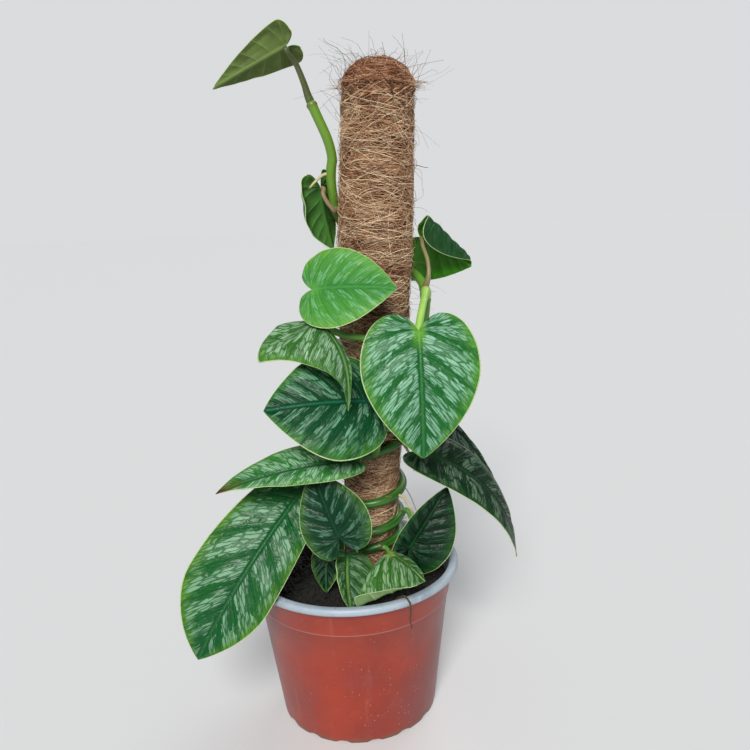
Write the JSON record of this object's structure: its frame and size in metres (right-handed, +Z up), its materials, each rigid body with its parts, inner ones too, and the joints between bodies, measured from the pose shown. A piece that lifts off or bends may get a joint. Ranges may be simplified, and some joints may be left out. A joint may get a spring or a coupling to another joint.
{
  "type": "potted monstera plant",
  "caption": "Climbing monstera with patterned heart-shaped leaves, wound round a coconut-fibre pole in a round plastic nursery pot.",
  "frame": {"origin": "middle of the pot's underside, on the surface it stands on", "axes": "+Z up along the pot's axis; -Y towards the side that most leaves face; the pole leans towards +X"},
  "size_m": [0.2327, 0.1608, 0.4795],
  "materials": {
    "pot_plastic": "terracotta-coloured moulded plastic, half gloss, with a grey inner layer and lip",
    "potting_mix": "dark crumbly potting mix",
    "stake_wood": "plain round stake",
    "coir_fibre": "loose reddish-brown coconut fibre",
    "green_stem": "smooth green stem",
    "leaf_stalk": "smooth leaf stalk, green to pinkish brown",
    "leaf_blade": "waxy green blade with silver-green patches between the veins",
    "root_skin": "dry pale root"
  },
  "bodies": {
    "root": {"aerial_root_1": "root_skin", "aerial_root_2": "root_skin", "aerial_root_3": "root_skin", "aerial_root_4": "root_skin", "binding_twine": "coir_fibre", "coir_wrap": "coir_fibre", "dry_root": "root_skin", "leaf_01": "leaf_blade", "leaf_02": "leaf_blade", "leaf_03": "leaf_blade", "leaf_04": "leaf_blade", "leaf_05": "leaf_blade", "leaf_06": "leaf_blade", "leaf_07": "leaf_blade", "leaf_08": "leaf_blade", "leaf_09": "leaf_blade", "leaf_10": "leaf_blade", "leaf_11": "leaf_blade", "leaf_12": "leaf_blade", "leaf_13": "leaf_blade", "leaf_14": "leaf_blade", "leaf_15": "leaf_blade", "leaf_16": "leaf_blade", "petiole_01": "leaf_stalk", "petiole_02": "leaf_stalk", "petiole_03": "leaf_stalk", "petiole_04": "leaf_stalk", "petiole_05": "leaf_stalk", "petiole_06": "leaf_stalk", "petiole_07": "leaf_stalk", "petiole_08": "leaf_stalk", "petiole_09": "leaf_stalk", "petiole_10": "leaf_stalk", "petiole_11": "leaf_stalk", "petiole_12": "leaf_stalk", "petiole_13": "leaf_stalk", "petiole_14": "leaf_stalk", "petiole_15": "leaf_stalk", "petiole_16": "leaf_stalk", "pole_core": "stake_wood", "pot": "pot_plastic", "soil": "potting_mix", "vine_stem": "green_stem"}
  },
  "joints": []
}
